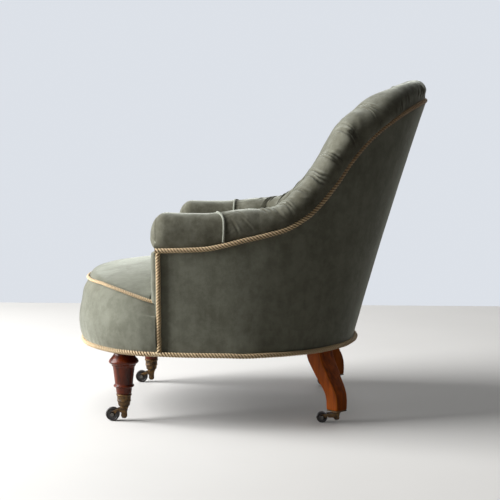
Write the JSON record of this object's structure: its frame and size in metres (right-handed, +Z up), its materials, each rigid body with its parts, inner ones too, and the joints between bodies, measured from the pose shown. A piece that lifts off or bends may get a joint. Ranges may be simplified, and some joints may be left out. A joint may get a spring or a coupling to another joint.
{
  "type": "tub chair",
  "caption": "Low upholstered tub chair: curved rolled back and arms, sprung seat, rope trim, turned front legs, curved rear legs, swivelling casters.",
  "frame": {"origin": "floor level, under the middle of the chair", "axes": "+Z up, -Y the way the chair faces, +X the sitter's left"},
  "size_m": [0.623, 0.7997, 0.7424],
  "materials": {
    "frame_timber": "planed beech, unfinished",
    "velvet": "sage green cotton velvet with a soft nap",
    "piping": "piped seam of the same velvet, worn pale",
    "stuffing": "hair and wadding stuffing",
    "hessian": "woven jute hessian and webbing",
    "bottom_cloth": "black cotton dust cloth",
    "rope": "twisted straw-gold cord",
    "mahogany": "turned mahogany, french polished",
    "rear_leg_timber": "sawn hardwood, stained and polished",
    "aged_brass": "dark patinated cast brass",
    "wheel": "dark brown composition wheel",
    "spring_steel": "drawn spring wire",
    "axle_steel": "steel pin, dull"
  },
  "bodies": {
    "chair": {"arm_cover_left": "velvet", "arm_cover_right": "velvet", "arm_facing_left": "velvet", "arm_facing_right": "velvet", "arm_piping_left": "piping", "arm_piping_right": "piping", "arm_post_left": "frame_timber", "arm_post_right": "frame_timber", "arm_rail_left": "frame_timber", "arm_rail_right": "frame_timber", "arm_rope_left": "rope", "arm_rope_right": "rope", "arm_stuffing_left": "stuffing", "arm_stuffing_right": "stuffing", "back_buttons": "velvet", "back_cover": "velvet", "back_hessian": "hessian", "back_posts": "frame_timber", "back_stuffing": "stuffing", "bottom_cloth": "bottom_cloth", "bottom_rope": "rope", "caster_cup_front_left": "aged_brass", "caster_cup_front_right": "aged_brass", "caster_plate_rear_left": "aged_brass", "caster_plate_rear_right": "aged_brass", "caster_screws": "axle_steel", "corner_blocks": "frame_timber", "crest_rail": "frame_timber", "leg_front_left": "mahogany", "leg_front_right": "mahogany", "leg_rear_left": "rear_leg_timber", "leg_rear_right": "rear_leg_timber", "outer_cover": "velvet", "seat_back_rail": "frame_timber", "seat_border_cover": "velvet", "seat_border_padding": "stuffing", "seat_cover": "velvet", "seat_front_rail": "frame_timber", "seat_hessian": "hessian", "seat_rope": "rope", "seat_side_rail_left": "frame_timber", "seat_side_rail_right": "frame_timber", "seat_springs": "spring_steel", "seat_stuffing": "stuffing", "seat_webbing": "hessian", "top_rope": "rope", "wing_stuffing_left": "stuffing", "wing_stuffing_right": "stuffing"},
    "fork_front_left": {"caster_fork_front_left": "aged_brass", "caster_axle_front_left": "axle_steel"},
    "wheel_front_left": {"caster_wheel_front_left": "wheel"},
    "fork_front_right": {"caster_fork_front_right": "aged_brass", "caster_axle_front_right": "axle_steel"},
    "wheel_front_right": {"caster_wheel_front_right": "wheel"},
    "fork_rear_left": {"caster_fork_rear_left": "aged_brass", "caster_axle_rear_left": "axle_steel"},
    "wheel_rear_left": {"caster_wheel_rear_left": "wheel"},
    "fork_rear_right": {"caster_fork_rear_right": "aged_brass", "caster_axle_rear_right": "axle_steel"},
    "wheel_rear_right": {"caster_wheel_rear_right": "wheel"}
  },
  "joints": [
    {"name": "swivel_front_left", "type": "hinge", "parent": "chair", "child": "fork_front_left", "pos_m": [0.216, -0.266, 0.0327], "axis": [0, 0, 1], "continuous": true},
    {"name": "spin_front_left", "type": "hinge", "parent": "fork_front_left", "child": "wheel_front_left", "pos_m": [0.216, -0.2905, 0.015], "axis": [1, 0, 0], "continuous": true},
    {"name": "swivel_front_right", "type": "hinge", "parent": "chair", "child": "fork_front_right", "pos_m": [-0.216, -0.266, 0.0327], "axis": [0, 0, 1], "continuous": true},
    {"name": "spin_front_right", "type": "hinge", "parent": "fork_front_right", "child": "wheel_front_right", "pos_m": [-0.216, -0.2905, 0.015], "axis": [1, 0, 0], "continuous": true},
    {"name": "swivel_rear_left", "type": "hinge", "parent": "chair", "child": "fork_rear_left", "pos_m": [0.20689, 0.19089, 0.025], "axis": [0, 0, 1], "continuous": true},
    {"name": "spin_rear_left", "type": "hinge", "parent": "fork_rear_left", "child": "wheel_rear_left", "pos_m": [0.20689, 0.15939, 0.012], "axis": [1, 0, 0], "continuous": true},
    {"name": "swivel_rear_right", "type": "hinge", "parent": "chair", "child": "fork_rear_right", "pos_m": [-0.20689, 0.19089, 0.025], "axis": [0, 0, 1], "continuous": true},
    {"name": "spin_rear_right", "type": "hinge", "parent": "fork_rear_right", "child": "wheel_rear_right", "pos_m": [-0.20689, 0.15939, 0.012], "axis": [1, 0, 0], "continuous": true}
  ]
}
